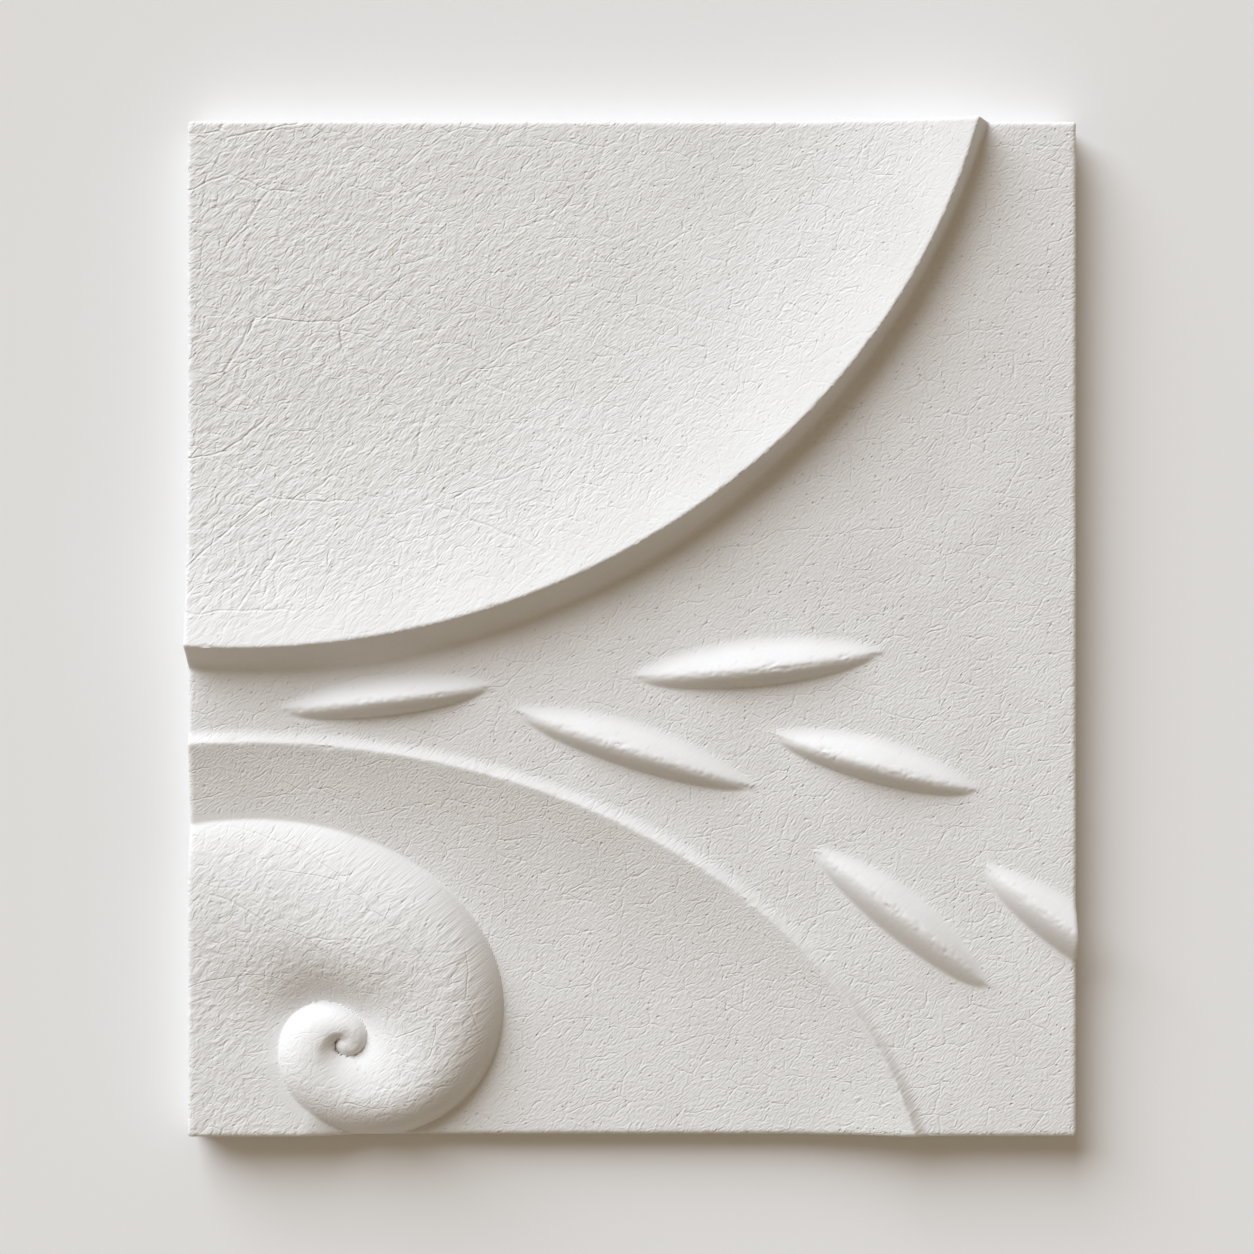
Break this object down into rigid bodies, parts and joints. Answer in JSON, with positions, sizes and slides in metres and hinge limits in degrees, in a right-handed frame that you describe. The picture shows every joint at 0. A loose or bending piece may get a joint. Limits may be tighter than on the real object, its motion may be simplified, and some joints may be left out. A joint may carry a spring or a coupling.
{
  "type": "wall relief panel",
  "caption": "Rectangular cast plaster wall relief with a dished roundel, a shallow dished field, a volute scroll and pointed leaf ridges on a flat ground; plain flat back.",
  "frame": {"origin": "Middle of the flat back, on the floor the panel lies on.", "axes": "The panel lies on its back: +X to the right and +Y up as it hangs on a wall, +Z out of the face."},
  "size_m": [0.7, 0.8, 0.063],
  "materials": {
    "plaster": "matte"
  },
  "bodies": {
    "root": {"relief_panel": "plaster"}
  },
  "joints": []
}
